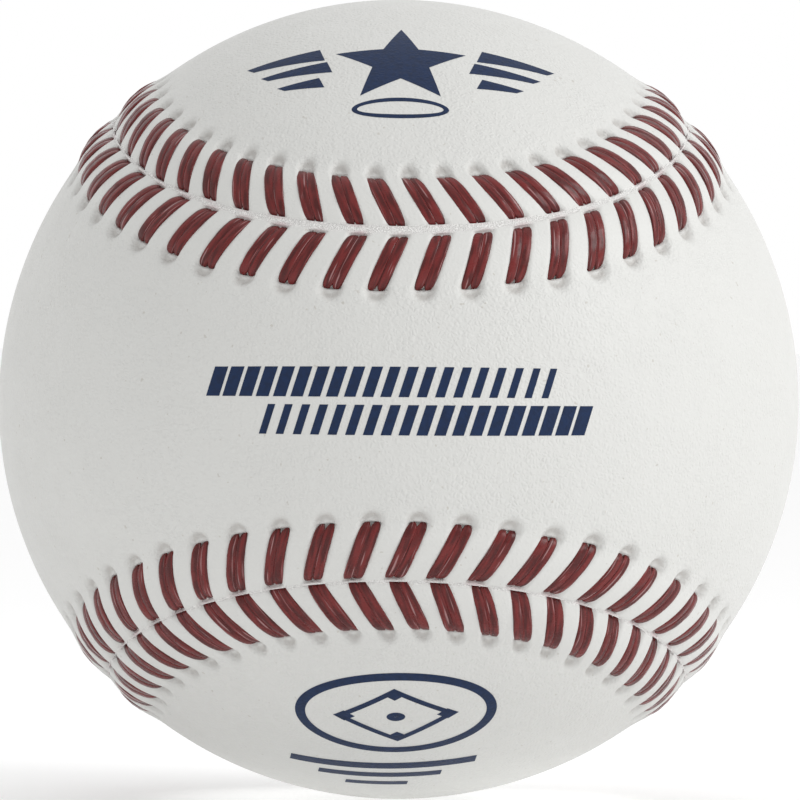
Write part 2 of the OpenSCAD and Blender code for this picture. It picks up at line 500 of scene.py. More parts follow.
def grain_height(finish):
    """Fine pebble grain with soft pores, as on tanned and painted cowhide."""
    wobble = finish.noise(0.7 * MM, 2.0, output="Color")
    drift = finish.add(
        "VectorMath", {0: wobble, 1: (0.25 * MM,) * 3, 2: finish.place}, operation="MULTIPLY_ADD"
    )
    pebbles = finish.remap(finish.cells(0.45 * MM, at=drift.outputs["Vector"]), 0, 0.42, 0, 1)
    patches = finish.remap(finish.noise(6 * MM), 0.35, 0.65, 0.7, 1)
    lumps = finish.sum(finish.noise(0.9 * MM, 2), pebbles, 0.45)
    return finish.add("Math", {0: lumps, 1: patches}, operation="MULTIPLY").outputs["Value"]


def cover_leather(colours):
    finish = Finish("cover_leather", 0.5, Specular_IOR_Level=0.38)
    tint = finish.remap(finish.noise(9 * MM, 4), 0.3, 0.7, 0.0, 0.35)
    shade = tuple(0.96 * c for c in colours.leather)
    base = finish.mix(tint, colours.leather, shade)
    specks = finish.remap(finish.noise(0.55 * MM, 1), 0.735, 0.79, 0.0, 0.3)
    base = finish.mix(specks, base, (0.32, 0.27, 0.2))
    raw = finish.value("raw_edge")
    fibres = finish.remap(finish.noise(0.16 * MM, 4), 0.3, 0.7, 0.0, 1.0)
    edge_shade = tuple(0.9 * c for c in colours.leather_edge)
    base = finish.mix(raw, base, finish.mix(fibres, edge_shade, colours.leather_edge))
    # Painted shade on the far wall of each stitch hole, from the mask stored on the points.
    base = finish.mix(finish.remap(finish.value("hollow"), 0, 1, 0, 0.38), base, colours.hollow)
    base = finish.mix(finish.value("stain"), base, colours.thread_stain)
    finish.colour(base)
    slack = finish.remap(finish.value("taut"), 0, 1, 1.0, 0.35)
    grain = finish.sum(0.0, grain_height(finish), slack)
    height = finish.sum(grain, raw, finish.remap(fibres, 0, 1, 0.0, 0.9))
    finish.bump(height, 0.09 * MM, 1.0)
    finish.rough(finish.remap(finish.noise(3 * MM), 0.3, 0.7, 0.46, 0.56))
    return finish.material


def printed_ink(colours):
    finish = Finish("printed_ink", 0.45, Specular_IOR_Level=0.15)
    worn = finish.remap(finish.noise(0.5 * MM, 4), 0.35, 0.75, 0.0, 1.0)
    pale = tuple(0.8 * c + 0.004 for c in colours.ink)
    deep = tuple(1.15 * c for c in colours.ink)
    finish.colour(finish.mix(worn, deep, pale))
    finish.bump(grain_height(finish), 0.03 * MM, 1.0)
    return finish.material


def waxed_thread(colours):
    finish = Finish("waxed_thread", 0.3, Specular_IOR_Level=0.32)
    fibres = finish.noise(1.0, 2, finish.stretched(420, 11))
    twist = finish.noise(1.0, 1, finish.stretched(1500, 6))
    dark = tuple(0.65 * c for c in colours.thread)
    bright = tuple(1.5 * c for c in colours.thread)
    tone = finish.mix(finish.remap(fibres, 0.35, 0.65, 0, 1), dark, bright)
    # Lighter streaks along the thread: partly wax, partly painted highlight.
    streaks = finish.noise(1.0, 1, finish.stretched(260, 17))
    wax_and_painted_highlight = finish.remap(streaks, 0.64, 0.71, 0, 0.7)
    tone = finish.mix(wax_and_painted_highlight, tone, colours.wax_and_painted_highlight)
    finish.colour(tone)
    finish.rough(finish.remap(finish.noise(0.7 * MM, 3), 0.3, 0.7, 0.2, 0.38))
    finish.bump(finish.sum(fibres, twist, 0.15), 0.05 * MM, 0.9)
    return finish.material


def cork_composition():
    finish = Finish("cork_composition", 0.85)
    granule = finish.cells(1.4 * MM, "F1")
    tone = finish.mix(finish.noise(1.2 * MM, 4), (0.3, 0.16, 0.08), (0.52, 0.33, 0.18))
    tone = finish.mix(finish.remap(granule, 0.25, 0.6, 0, 0.6), tone, (0.12, 0.06, 0.03))
    finish.colour(tone)
    finish.bump(finish.sum(granule, finish.noise(0.3 * MM), 0.5), 0.2 * MM)
    return finish.material


def moulded_rubber(name, deep, pale):
    finish = Finish(name, 0.6)
    finish.colour(finish.mix(finish.noise(2 * MM, 5), deep, pale))
    finish.bump(finish.noise(0.25 * MM, 4), 0.04 * MM)
    return finish.material


# The scale of Blender's wave texture that gives one wave in a metre.
TURNS_SCALE = 0.314


def wound_yarn(name, deep, pale, thickness):
    """Yarn that runs round the ball in crossing turns, with loose fibres."""
    finish = Finish(name, 0.9, Sheen_Weight=0.4)
    turns = []
    for axis in ((0.3, 0.2, 1.0), (1.0, 0.4, -0.3), (-0.5, 1.0, 0.4)):
        direction = Vector(axis).normalized()
        along = finish.add("VectorMath", {0: finish.place, 1: direction}, operation="DOT_PRODUCT")
        lane = finish.add("CombineXYZ", {"X": along.outputs["Value"]}).outputs["Vector"]
        wave = finish.add("TexWave", {"Vector": lane, "Scale": TURNS_SCALE / thickness})
        turns.append(wave.outputs["Fac"])
    patch = finish.remap(finish.noise(8 * MM, 1), 0.45, 0.52, 0, 1)
    other = finish.remap(finish.noise(11 * MM, 1), 0.48, 0.55, 0, 1)
    last = finish.blend(other, finish.blend(patch, turns[0], turns[1]), turns[2])
    lay = finish.sum(last, finish.noise(0.2 * MM, 5), 0.5)
    finish.colour(finish.mix(finish.remap(lay, 0.2, 1.2, 0, 1), deep, pale))
    finish.bump(lay, 0.35 * thickness)
    return finish.material


# Where on the floor its painted glow starts and stops fading, as parts of the ball's
# radius, and how strong it is there.
GLOW_REACH = (0.25, 0.7)
GLOW = (0.48, 0.22)


def studio_floor(studio):
    """A pale floor with a painted glow round where the ball rests, filling its contact shadow."""
    finish = Finish("studio_floor", 0.8, Specular_IOR_Level=0.1, Emission_Color=(1, 1, 1, 1))
    reach = finish.add("VectorMath", {0: finish.place}, operation="LENGTH").outputs["Value"]
    start, end = (math.hypot(BALL_RADIUS, part * BALL_RADIUS) for part in GLOW_REACH)
    finish.plug(finish.shader, {"Emission Strength": finish.remap(reach, start, end, *GLOW)})
    shade = tuple(0.985 * c for c in studio.floor)
    finish.colour(finish.mix(finish.noise(0.4, 2), studio.floor, shade))
    return finish.material


# --- The cover ------------------------------------------------------------------------------

# Distances of the fine rings from the seam's middle line, in millimetres: close together over
# the cut edge and round the holes, wider where the leather is calm.
FINE_RINGS = [
    0.0, 0.09, 0.18, 0.26, 0.34, 0.42, 0.48, 0.54, 0.6, 0.68, 0.8, 0.98, 1.22, 1.55, 1.95, 2.4,
    2.9, 3.4, 3.85, 4.25, 4.6, 4.88, 5.1, 5.28, 5.46, 5.64, 5.82, 6.0, 6.17, 6.34, 6.54, 6.85,
    7.3, 8.1,
]
CALM_RING = 9.4
FINE_PER_STITCH = 20
CALM_PER_STITCH = 5
CALM_ROWS = 60
UNDER_RINGS = (1.0, 2.6)
UNDER_ROWS = 16
# How far from the seam the leather has passed the stitch holes.
PAST_HOLES = 6.8 * MM
# Height of the fibres on the raw edge.
RAW_ROUGHNESS = 0.02 * MM


def bell(distance, width, power=2):
    """A soft bump of height one."""
    return np.exp(-((np.abs(distance) / width) ** power))


def lean_share(away, stitch):
    """How much of the stitches' lean the leather's columns take at a distance from the seam."""
    stops = [stitch.entry_distance, stitch.hole_distance, PAST_HOLES, CALM_RING * MM]
    return np.interp(away, stops, [0, 1, 1.05, 0])


def waves(cover, direction):
    """Slow unevenness over the whole ball."""
    x, y, z = np.moveaxis(direction, -1, 0)
    lobes = z * z * z - 3 * x * x * z
    ripples = (
        np.sin(5.1 * x + 3.3 * z + 0.4)
        + np.sin(4.3 * y - 6.1 * x + 1.7)
        + 0.7 * np.sin(7.7 * z + 3.9 * y + 2.6)
    )
    return cover.out_of_round * lobes + cover.unevenness * ripples


class Leather:
    """The outer face of one panel, as a height over the smooth ball."""

    # The least and the most width of the raw edge that shows beside the seam.
    RAW_LINE = 0.18 * MM
    RAW_BAND = 0.54 * MM
    # Half the width of the groove under a thread, and how stretched a hole's hollow is along
    # the seam, away from the seam and towards it.
    GROOVE_HALF = 0.9 * MM
    PIT_ALONG, PIT_BEYOND, PIT_NEAR = 0.9, 1.1, 0.35
    # The small folds past the holes: how deep, how wide, how long and where.
    CREASE_DEPTH, CREASE_WIDTH = 0.02 * MM, 0.35 * MM
    CREASE_LENGTH, CREASE_MIDDLE = 0.9 * MM, 6.7 * MM

    def __init__(self, cover, sewing):
        self.cover, self.sewing, self.seam = cover, sewing, sewing.seam

    def height(self, lane, away):
        """Height beside the seam. lane counts stitches along their own lean."""
        cover, sewing = self.cover, self.sewing
        rounded = np.hypot(away, 0.35 * MM)
        rise = cover.ridge * bell(rounded - sewing.HUMP_MIDDLE, 2.35 * MM, 3)
        rise = rise - cover.valley * self.raw_edge(lane, away)
        nearest = np.floor(lane + 0.5).astype(int)
        for step in (-1, 0, 1):
            j = (nearest + step) % self.seam.count
            beside = (lane - nearest - step - sewing.shift[j]) * self.seam.pitch
            hole, entry = sewing.hole[j], sewing.entry[j]
            over = 1 / (1 + np.exp((away - hole + 0.1 * MM) / (0.06 * MM)))
            over = over / (1 + np.exp((entry + 0.08 * MM - away) / (0.03 * MM)))
            floor = sewing.thread_top(j, away) - cover.thread_groove
            under = bell(beside, self.GROOVE_HALF, 8) * over
            rise = rise + (np.minimum(rise, floor) - rise) * under
            beyond = (away - hole) / self.PIT_BEYOND
            beyond = np.where(away > hole, beyond, (hole - away) / self.PIT_NEAR)
            rise = rise - cover.hole_depth * bell(np.hypot(beside / self.PIT_ALONG, beyond), MM, 5)
            crease = bell(beside - self.GROOVE_HALF, self.CREASE_WIDTH)
            crease = crease + bell(beside + self.GROOVE_HALF, self.CREASE_WIDTH)
            reach = bell(away - self.CREASE_MIDDLE, self.CREASE_LENGTH)
            rise = rise - self.CREASE_DEPTH * crease * reach
        return rise

    def raw_edge(self, lane, away):
        """How much the leather is the raw cut edge: one at the seam, none past the band."""
        j = np.floor(lane + 0.5).astype(int) % self.seam.count
        edge = np.clip(self.sewing.entry[j], self.RAW_LINE, self.RAW_BAND)
        return bell(away, edge, 6)

    def nearest_stitch(self, lane):
        """Which stitch is nearest, and the distance beside it along the seam."""
        nearest = np.floor(lane + 0.5).astype(int)
        j = nearest % self.seam.count
        return j, (lane - nearest - self.sewing.shift[j]) * self.seam.pitch

    def hollow(self, lane, away):
        """The far wall of each hole's hollow, painted greyer as the shade that wall falls in."""
        j, beside = self.nearest_stitch(lane)
        past = (away - self.sewing.hole[j]) / self.PIT_BEYOND
        rim = np.hypot(beside / 0.85, past) - 0.62 * MM
        return bell(rim, 0.3 * MM) * np.clip(past / (0.4 * MM), 0, 1)

    def stain(self, lane, away):
        """Thread dye on the leather, strongest where each stitch enters the gap."""
        j, beside = self.nearest_stitch(lane)
        strength = 0.15 + 0.85 * np.random.RandomState(5).random_sample(self.seam.count)[j]
        spot = np.hypot(beside * 0.8, (away - self.sewing.entry[j]) * 2.4)
        return 0.4 * strength * bell(spot, 0.6 * MM)


def panel_mesh(first, cover, sewing):
    """Points, faces and stored values of one closed leather panel whose ring starts at a tip."""
    leather, seam = Leather(cover, sewing), sewing.seam
    fine, calm = FINE_PER_STITCH * seam.count, CALM_PER_STITCH * seam.count
    lane = first + np.arange(fine) / FINE_PER_STITCH
    calm_lane = first + np.arange(calm) / CALM_PER_STITCH
    thinning = FINE_PER_STITCH // CALM_PER_STITCH
    draw = np.random.RandomState(41 if sewing.side > 0 else 42)
    blocks, faces = [], []
    values = {"stain": [], "raw_edge": [], "hollow": [], "taut": []}

    def add(points, **given):
        start = sum(len(b) for b in blocks)
        blocks.append(points)
        for name, rows in values.items():
            rows.append(np.broadcast_to(given.get(name, 0.0), len(points)))
        return start

    previous = None
    for distance in FINE_RINGS:
        away = np.full(fine, distance * MM)
        place = sewing.place(lane) + sewing.side_lean * lean_share(away, sewing.stitch)
        direction = sewing.beside(place, away)
        rise = leather.height(lane, away) + waves(cover, direction)
        raw = leather.raw_edge(lane, away)
        lumps = draw.normal(0, 1, fine)
        lumps = 0.5 * lumps + 0.25 * (np.roll(lumps, 1) + np.roll(lumps, -1))
        rise = rise + RAW_ROUGHNESS * lumps * raw * (1 - bell(away, 0.06 * MM))
        start = add(
            (seam.radius + rise)[:, None] * direction,
            stain=leather.stain(lane, away),
            raw_edge=raw,
            # painted shade mask for the far walls of the stitch holes
            hollow=leather.hollow(lane, away),
            taut=bell(away, 5.5 * MM, 6),
        )
        if previous is not None:
            faces += band(previous, start, fine)
        previous = start
    calm_direction = sewing.beside(sewing.place(calm_lane), CALM_RING * MM)
    calm_start = add((seam.radius + waves(cover, calm_direction))[:, None] * calm_direction)
    faces += thinning_band(previous, calm_start, calm, thinning)
    middle = crossing_points(calm_direction, CALM_ROWS).reshape(-1, 3)
    middle_start = add((seam.radius + waves(cover, middle))[:, None] * middle)
    faces += crossing_faces(calm_start, middle_start, calm, CALM_ROWS)

    under_radius = seam.radius - cover.thickness
    cut = sewing.beside(sewing.place(lane), FINE_RINGS[0] * MM)
    cut_start = add(under_radius * cut, raw_edge=1.0)
    calm_under = sewing.beside(calm_lane, UNDER_RINGS[0] * MM)
    calm_under_start = add(under_radius * calm_under)
    wide = sewing.beside(first + np.arange(seam.count), UNDER_RINGS[1] * MM)
    wide_start = add(under_radius * wide)
    inner = crossing_points(wide, UNDER_ROWS).reshape(-1, 3)
    inner_start = add(under_radius * inner)
    faces += band(cut_start, 0, fine)
    faces += turned(thinning_band(cut_start, calm_under_start, calm, thinning))
    faces += turned(thinning_band(calm_under_start, wide_start, seam.count, CALM_PER_STITCH))
    faces += turned(crossing_faces(wide_start, inner_start, seam.count, UNDER_ROWS))
    points = np.concatenate(blocks)
    stored = {name: np.concatenate(rows) for name, rows in values.items()}
    return points, outward(points, faces), stored


class BALL_OT_cover_panels(bpy.types.Operator):
    """Makes the two figure-eight leather panels, with their ridges, grooves and stitch holes"""

    bl_idname = "ball.cover_panels"
    bl_label = "Leather cover"

    def execute(self, context):
        scene = context.scene
        leather = cover_leather(scene.ball_colours)
        first_tips = {"front": -scene.ball_stitches.quarter_stitches, "back": 0}
        for name, sewing in sewings(scene).items():
            points, faces, stored = panel_mesh(first_tips[name], scene.ball_cover, sewing)
            panel = make_object(f"leather_{name}", points, faces, leather)
            for value_name, values in stored.items():
                add_point_values(panel.data, value_name, values)
            panel.data.set_sharp_from_angle(angle=math.radians(60))
            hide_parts(f"cover_panel_{name}")
        return {"FINISHED"}


# --- The stitches ---------------------------------------------------------------------------

STRAND_RINGS = 34
STRAND_SIDES = 16
# How square the corners of a stitch are where it goes down, and how square a strand's section.
CORNER_SQUARENESS = 7
SECTION_SQUARENESS = 4
# Distance between the middle lines of two strands pressed together, as a part of their width.
STRAND_PRESS = 0.9
# How thick a strand's ends stay, as a part of its thickness, at the seam and at the hole.
NEAR_FLATNESS = 0.7
FAR_FLATNESS = 0.9
# The stretch over which a strand's end rounds off, and how much narrower its tip is.
END_ROUND = 0.5 * MM
END_NARROWING = 0.55
HAIRS_PER_STITCH = 5
HAIR_PARTS = 4
HAIR_SIDES = 3


def squared(wave, squareness):
    """A cosine or sine pressed towards a square wave."""
    return np.sign(wave) * np.abs(wave) ** (2 / squareness)


def strand_profile(sewing, j):
    """Distances from the seam and heights of one stitch's middle line, evenly spaced."""
    stitch = sewing.stitch
    angle = np.linspace(0, math.pi, 800)
    half = stitch.strand_thickness / 2
    entry = sewing.entry[j] + half * NEAR_FLATNESS
    hole = sewing.hole[j] - half * FAR_FLATNESS
    away = (entry + hole) / 2 - (hole - entry) / 2 * squared(np.cos(angle), CORNER_SQUARENESS)
    middle = sewing.thread_top(j, away) - half
    height = (middle + stitch.bury) * squared(np.sin(angle), CORNER_SQUARENESS) - stitch.bury
    run = np.concatenate([[0], np.cumsum(np.hypot(np.diff(away), np.diff(height)))])
    even = np.linspace(0, run[-1], STRAND_RINGS)
    return np.interp(even, run, away), np.interp(even, run, height), even


def strand_block(sewing, stitches, which, draw):
    """Points of one strand of each stitch, ring by ring, and the length along it at every ring."""
    stitch = sewing.stitch
    half = stitch.strand / 2
    flat = stitch.strand_thickness / stitch.strand
    profiles = [strand_profile(sewing, j) for j in stitches]
    away, height, lengths = (np.array(part) for part in zip(*profiles))
    share = (away - stitch.entry_distance) / (stitch.hole_distance - stitch.entry_distance)
    place = (
        sewing.place(stitches + sewing.shift[stitches])[:, None]
        + sewing.lean[stitches][:, None] * np.clip(share, 0, 1.05)
    )
    direction = sewing.beside(place, away)
    line = (sewing.seam.radius + height)[..., None] * direction
    tangent = unit(np.gradient(line, axis=1))
    square = unit(np.cross((direction[:, -1] - direction[:, 0])[:, None], direction))
    up = np.cross(square, tangent)
    step = 0.1
    seamwise = unit(sewing.beside(place + step, away) - sewing.beside(place - step, away))
    lean_cosine = np.sum(seamwise * square, axis=-1, keepdims=True)
    sideways = seamwise / lean_cosine
    count = len(stitches)
    phase = draw.uniform(0, 2 * math.pi, (count, 1))
    along = np.linspace(0, 1, STRAND_RINGS)[None, :]
    swell = 1 + 0.02 * np.sin(9 * along + phase) + 0.012 * np.sin(23 * along + 2 * phase)
    girth = half * sewing.girth[stitches][:, None] * swell
    near = bell(away - away[:, :1], 0.4 * MM)
    far = bell(away - away[:, -1:], 0.4 * MM)
    thin = 1 - (1 - NEAR_FLATNESS) * near - (1 - FAR_FLATNESS) * far
    from_end = np.minimum(away - away[:, :1], away[:, -1:] - away)
    inside = np.clip(from_end / END_ROUND, 0, 1)
    narrow = 1 - END_NARROWING * (1 - np.sqrt(1 - (1 - inside) ** 2))
    line = line + which * STRAND_PRESS * half * sideways
    around = np.linspace(0, 2 * math.pi, STRAND_SIDES, endpoint=False)
    wide = squared(np.cos(around), SECTION_SQUARENESS)
    high = squared(np.sin(around), SECTION_SQUARENESS)
    fuzz = 1 + draw.normal(0, 0.008, (count, STRAND_RINGS, STRAND_SIDES))
    ring = (
        line[:, :, None]
        + (fuzz * (girth * narrow)[..., None] * wide)[..., None] * sideways[:, :, None]
        + (fuzz * (girth * thin * flat)[..., None] * high)[..., None] * up[:, :, None]
    )
    return ring, lengths + draw.uniform(0, 0.5, (count, 1))


def strand_row(name, sewing, stitches, material):
    """One row of stitches: two strands each, with a strand map for the thread's finish."""
    draw = np.random.RandomState(300 + int(stitches[0]) + (7 if sewing.side > 0 else 0))
    points, faces, marks = [], [], []
    total = 0
    sides = np.arange(STRAND_SIDES + 1) / STRAND_SIDES
    for which in (-1, 1):
        rings, lengths = strand_block(sewing, stitches, which, draw)
        for ring, run in zip(rings, lengths):
            points.append(ring.reshape(-1, 3))
            for r in range(STRAND_RINGS - 1):
                low = total + r * STRAND_SIDES
                faces += band(low, low + STRAND_SIDES, STRAND_SIDES)
                for a, b in zip(sides, sides[1:]):
                    marks += [(run[r], a), (run[r], b), (run[r + 1], b), (run[r + 1], a)]
            last = total + (STRAND_RINGS - 1) * STRAND_SIDES
            for start, order, end in ((total, -1, run[0]), (last, 1, run[-1])):
                faces.append(tuple(range(start, start + STRAND_SIDES))[::order])
                marks += [(end, a) for a in sides[:-1]][::order]
            total += STRAND_RINGS * STRAND_SIDES
    points = np.concatenate(points)
    one_strand = (STRAND_RINGS - 1) * STRAND_SIDES + 2
    flipped = outward(points[: STRAND_RINGS * STRAND_SIDES], faces[:one_strand])
    if flipped[0] != faces[0]:
        starts = np.cumsum([0] + [len(f) for f in faces])
        marks = [m for a, b in zip(starts, starts[1:]) for m in marks[a:b][::-1]]
        faces = turned(faces)
    row = make_object(name, points, faces, material)
    layer = row.data.uv_layers.new(name="strand")
    layer.data.foreach_set("uv", np.array(marks, np.float32).ravel())
    return row


def hair_line(draw, sewing, j):
    """The middle line of one loose fibre beside the stitch j, and its thickness."""
    seam = sewing.seam
    place = j + sewing.shift[j] + draw.uniform(-0.8, 0.8) * MM / seam.pitch
    away = sewing.entry[j] + draw.uniform(-0.15, 0.1) * MM
    heading = draw.uniform(0, 2 * math.pi)
    step = draw.uniform(0.25, 0.6) * MM / HAIR_PARTS
    curl = draw.uniform(-1.2, 1.2)
    lift = draw.uniform(0.02, 0.12) * MM
    thick = draw.uniform(0.012, 0.024) * MM
    spots = []
    for share in np.arange(HAIR_PARTS + 1) / HAIR_PARTS:
        turn = heading + curl * share
        place += math.cos(turn) * step / seam.pitch
        away += math.sin(turn) * step
        height = -0.25 * MM + lift * math.sin(math.pi * share) + 0.3 * abs(away)
        spots.append((seam.radius + height) * sewing.beside(sewing.place(place), away))
    return np.array(spots), thick


def hair_mesh(sewing):
    """Short loose fibres where the thread enters the gap."""
    draw = np.random.RandomState(71 if sewing.side > 0 else 72)
    turn = (2 * math.pi * np.arange(HAIR_SIDES) / HAIR_SIDES)[None, :, None]
    taper = (1 - 0.7 * np.arange(HAIR_PARTS + 1) / HAIR_PARTS)[:, None, None]
    points, faces = [], []
    total = 0
    for hair in range(sewing.seam.count * HAIRS_PER_STITCH):
        line, thick = hair_line(draw, sewing, hair // HAIRS_PER_STITCH)
        tangent = unit(np.gradient(line, axis=0))
        across = unit(np.cross(tangent, unit(line)))
        up = np.cross(across, tangent)
        spread = np.cos(turn) * across[:, None] + np.sin(turn) * up[:, None]
        points.append((line[:, None] + thick * taper * spread).reshape(-1, 3))
        for k in range(HAIR_PARTS):
            low = total + k * HAIR_SIDES
            faces += turned(band(low, low + HAIR_SIDES, HAIR_SIDES))
        end = total + HAIR_PARTS * HAIR_SIDES
        faces += [(total, total + 1, total + 2), (end + 2, end + 1, end)]
        total = end + HAIR_SIDES
    return np.concatenate(points), faces


class BALL_OT_stitches(bpy.types.Operator):
    """Sews the raised double row of two-strand waxed stitches"""

    bl_idname = "ball.stitches"
    bl_label = "Stitches"

    def execute(self, context):
        thread = waxed_thread(context.scene.ball_colours)
        quarter_stitches = context.scene.ball_stitches.quarter_stitches
        half = quarter_stitches // 2
        for side_name, sewing in sewings(context.scene).items():
            for quarter, turn in QUARTERS.items():
                middle = turn * quarter_stitches
                stitches = np.arange(middle - half, middle + half + 1) % sewing.seam.count
                name = f"{quarter}_{side_name}"
                row = strand_row(f"thread_{name}", sewing, stitches, thread)
                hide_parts(f"stitches_{name}")
        return {"FINISHED"}


class BALL_OT_thread_fluff(bpy.types.Operator):
    """Adds the loose fibres where the thread goes down between the panels"""

    bl_idname = "ball.thread_fluff"
    bl_label = "Thread fluff"

    def execute(self, context):
        finish = Finish("thread_fluff", 0.7)
        deep = context.scene.ball_colours.thread
        pale = tuple(0.3 * c + 0.12 for c in deep)
        finish.colour(finish.mix(finish.noise(2 * MM, 2), deep, pale))
        for name, sewing in sewings(context.scene).items():
            points, faces = hair_mesh(sewing)
            faces = outward(points, faces)
            make_object(f"fluff_{name}", points, faces, finish.material)
        return {"FINISHED"}


# --- The printed marks ----------------------------------------------------------------------


class PrintArea:
    """A place on the leather where flat artwork, in metres, is laid over the ball."""

    INK_THICKNESS = 0.016 * MM

    def __init__(self, cover, rise_angle, lean_angle):
        self.cover = cover
        self.centre = Vector((0, -math.cos(rise_angle), math.sin(rise_angle)))
        right, up = Vector((1, 0, 0)), Vector((0, math.sin(rise_angle), math.cos(rise_angle)))
        self.right = math.cos(lean_angle) * right + math.sin(lean_angle) * up
        self.up = math.cos(lean_angle) * up - math.sin(lean_angle) * right

    def lay(self, flat):
        """Points on the ball for flat points (right, up)."""
        reach = np.maximum(np.linalg.norm(flat, axis=-1, keepdims=True), 1e-9)
        radius = self.cover.ball_radius
        sideways = flat[..., :1] * np.array(self.right) + flat[..., 1:] * np.array(self.up)
        angle = reach / radius
        direction = np.cos(angle) * np.array(self.centre) + np.sin(angle) * sideways / reach
        height = waves(self.cover, direction) + self.INK_THICKNESS
        return (radius + height)[..., None] * direction


class Artwork:
    """Inked shapes on one print area, collected into one mesh."""

    STEP = 0.5 * MM

    def __init__(self, area):
        self.area = area
        self.points, self.faces, self.total = [], [], 0

    def sheet(self, grid, closed=False):
        """Faces over a grid of flat points; closed joins its last row to its first."""
        rows, columns = grid.shape[:2]
        self.points.append(self.area.lay(grid).reshape(-1, 3))
        corner = self.total + np.arange(rows * columns).reshape(rows, columns)
        if closed:
            corner = np.vstack([corner, corner[:1]])
        here, beyond = corner[:-1], corner[1:]
        faces = np.stack([here[:, :-1], here[:, 1:], beyond[:, 1:], beyond[:, :-1]], axis=-1)
        self.faces += faces.reshape(-1, 4).tolist()
        self.total += rows * columns

    def quad(self, corners):
        """A four-sided patch with corners given round it."""
        a, b, c, d = (np.array(corner, float) for corner in corners)
        long_side = max(np.linalg.norm(b - a), np.linalg.norm(c - d))
        short_side = max(np.linalg.norm(d - a), np.linalg.norm(c - b))
        u = np.linspace(0, 1, max(2, int(long_side / self.STEP) + 2))[:, None, None]
        v = np.linspace(0, 1, max(2, int(short_side / self.STEP) + 2))[None, :, None]
        self.sheet((a * (1 - u) + b * u) * (1 - v) + (d * (1 - u) + c * u) * v)

    def bar(self, left, right, low, high, slant):
        """A bar whose ends lean by slant."""
        self.quad([
            (left + slant * low, low),
            (right + slant * low, low),
            (right + slant * high, high),
            (left + slant * high, high),
        ])

    def ring(self, half_width, half_height, line, centre=(0, 0), steps=160):
        """An oval line."""
        turn = np.linspace(0, 2 * math.pi, steps, endpoint=False)[:, None]
        cut = np.linspace(0, 1, 4)[None, :]
        grid = np.stack(
            [
                centre[0] + (half_width - line * cut) * np.cos(turn),
                centre[1] + (half_height - line * cut) * np.sin(turn),
            ],
            axis=-1,
        )
        self.sheet(grid, closed=True)

    def star(self, radius, waist, centre=(0, 0)):
        """A solid five-pointed star made of five kites."""
        centre = np.array(centre, float)

        def spoke(k, reach):
            turn = math.pi / 2 + k * math.pi / 5
            return centre + reach * np.array([math.cos(turn), math.sin(turn)])

        for k in range(0, 10, 2):
            self.quad([centre, spoke(k - 1, waist), spoke(k, radius), spoke(k + 1, waist)])

    def diamond_line(self, half_width, half_height, line):
        """The outline of a diamond, as four mitred bars."""
        outer = [(half_width, 0), (0, half_height), (-half_width, 0), (0, -half_height)]
        inner_scale = 1 - line / min(half_width, half_height) * 1.25
        for k in range(4):
            a, b = np.array(outer[k]), np.array(outer[(k + 1) % 4])
            self.quad([a, b, b * inner_scale, a * inner_scale])

    def make(self, name, material):
        points = np.concatenate(self.points)
        face = np.array(self.faces)
        corner, right, _, left = np.moveaxis(points[face], 1, 0)
        inward = np.einsum("ij,ij->i", np.cross(right - corner, left - corner), corner) < 0
        face[inward] = face[inward, ::-1]
        return make_object(name, points, face.tolist(), material)


def top_mark(area):
    """A star between two sets of tapered stripes, over a small oval."""
    art = Artwork(area)
    art.star(6.2 * MM, 2.7 * MM, (0, 1.2 * MM))
    stripes = [(6.9, 13.6, 3.3), (6.2, 12.2, 1.0), (6.9, 10.6, -1.3)]
    for level, (near, far, middle) in enumerate(stripes):
        for hand in (-1, 1):
            middle_line, half = middle * MM, (1.05 - 0.14 * level) * MM
            art.quad([
                (hand * near * MM, middle_line - half),
                (hand * far * MM, middle_line - 0.25 * half),
                (hand * (far + 0.7) * MM, middle_line + 0.55 * half),
                (hand * (near + 0.5) * MM, middle_line + half),
            ])
    art.ring(4.4 * MM, 1.35 * MM, 0.5 * MM, centre=(0, -5.6 * MM))
    return art


def middle_mark(area):
    """Two rows of slanted speed stripes, thinning out to the right and to the left."""
    art = Artwork(area)
    pitch, slant = 1.62 * MM, 0.32
    rows = ((1, 20, 0.4, 3.1, -17.9), (-1, 19, -3.0, -0.3, 18.2))
    for direction, count, low, high, start in rows:
        for k in range(count):
            width = (1.32 - 0.035 * k) * MM
            left = start * MM + direction * k * pitch - (width if direction < 0 else 0)
            art.bar(left, left + width, low * MM, high * MM, slant)
    return art


def bottom_mark(area):
    """A diamond of four bases in an oval, over three plain lines."""
    art = Artwork(area)
    art.ring(9.2 * MM, 5.9 * MM, 0.95 * MM)
    art.diamond_line(5.6 * MM, 3.9 * MM, 0.55 * MM)
    for x, y in ((4.7, 0), (0, 3.05), (-4.7, 0), (0, -3.05)):
        art.quad([
            ((x + 1.0) * MM, y * MM),
            (x * MM, (y + 0.75) * MM),
            ((x - 1.0) * MM, y * MM),
            (x * MM, (y - 0.75) * MM),
        ])
    art.ring(0.85 * MM, 0.62 * MM, 0.61 * MM, steps=40)
    for half_width, low, high in ((8.6, -9.4, -8.1), (5.7, -11.5, -10.4), (2.9, -13.8, -12.8)):
        art.bar(-half_width * MM, half_width * MM, low * MM, high * MM, 0.18)
    return art


class BALL_OT_printed_marks(bpy.types.Operator):
    """Prints three plain marks in dark ink on the smooth leather"""

    bl_idname = "ball.printed_marks"
    bl_label = "Printed marks"

    def execute(self, context):
        scene = context.scene
        ink = printed_ink(scene.ball_colours)
        marks = {
            "mark_top": (top_mark, 54.8, 0),
            "mark_middle": (middle_mark, 0.6, 0),
            "mark_bottom": (bottom_mark, -49.9, 2.5),
        }
        for name, (draw_mark, rise, lean) in marks.items():
            area = PrintArea(scene.ball_cover, math.radians(rise), math.radians(lean))
            draw_mark(area).make(name, ink)
        return {"FINISHED"}


# --- The inner layers -----------------------------------------------------------------------


